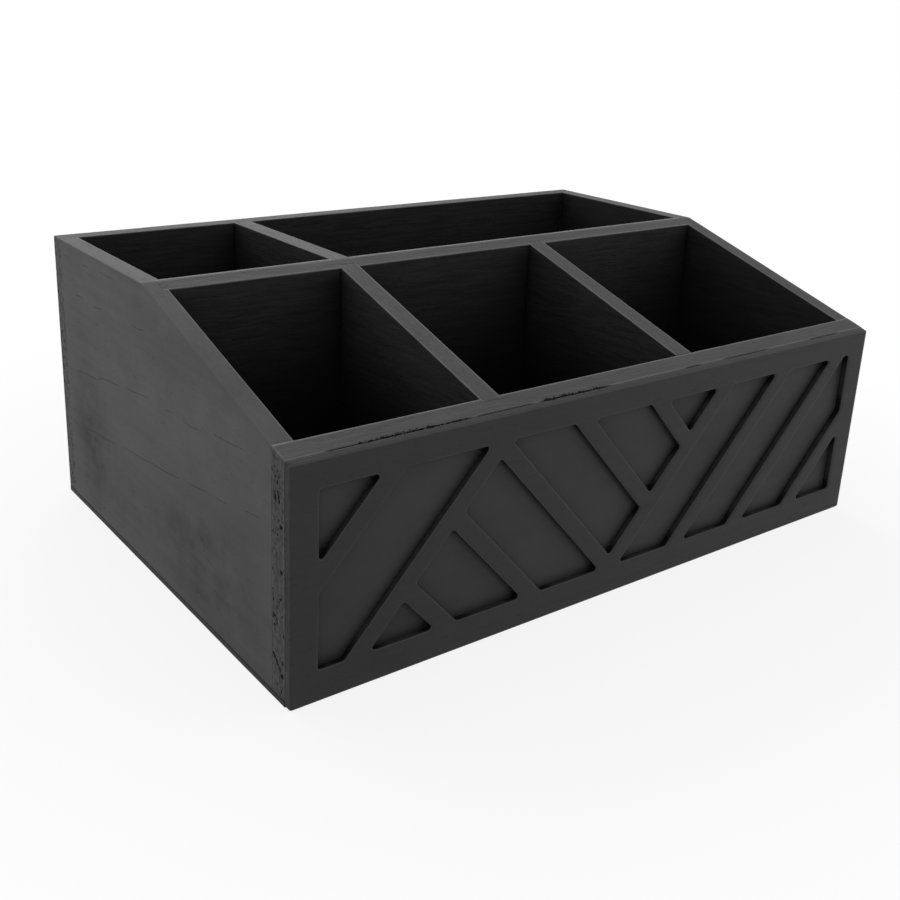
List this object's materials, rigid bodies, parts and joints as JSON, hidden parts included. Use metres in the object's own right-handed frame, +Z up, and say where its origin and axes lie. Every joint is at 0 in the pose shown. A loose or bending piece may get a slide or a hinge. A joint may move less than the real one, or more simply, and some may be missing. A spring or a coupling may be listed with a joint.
{
  "type": "tea bag organizer",
  "caption": "Open painted wooden caddy with a sloping top, dividers forming pockets for tea bags, and a slatted fretwork front panel.",
  "frame": {"origin": "centre of the underside of the whole box", "axes": "+X to the object's right as seen from the front, along its longest side; +Y from the fretwork front to the back; +Z up"},
  "size_m": [0.3, 0.205, 0.1205],
  "materials": {
    "fretwork_paint": "satin charcoal-black paint on thin wood",
    "wall_paint": "satin charcoal-black paint over grained wood",
    "side_paint": "thin satin charcoal-black paint over grained wood",
    "divider_paint": "satin charcoal-black paint over grained wood",
    "bottom_board": "matte black-stained thin board",
    "brad_steel": "steel brads with painted-over heads"
  },
  "bodies": {
    "root": {"fretwork_panel": "fretwork_paint", "front_board": "wall_paint", "back_board": "wall_paint", "left_side": "side_paint", "right_side": "side_paint", "bottom_panel": "bottom_board", "long_divider": "divider_paint", "rear_divider": "divider_paint", "front_divider_left": "divider_paint", "front_divider_right": "divider_paint", "front_brads_left": "brad_steel", "front_brads_right": "brad_steel", "front_divider_brads": "brad_steel", "back_brads_left": "brad_steel", "back_brads_right": "brad_steel", "back_divider_brads": "brad_steel", "bottom_brads_left": "brad_steel", "bottom_brads_right": "brad_steel", "bottom_brads_front": "brad_steel", "bottom_brads_back": "brad_steel", "bottom_brads_divider": "brad_steel"}
  },
  "joints": []
}
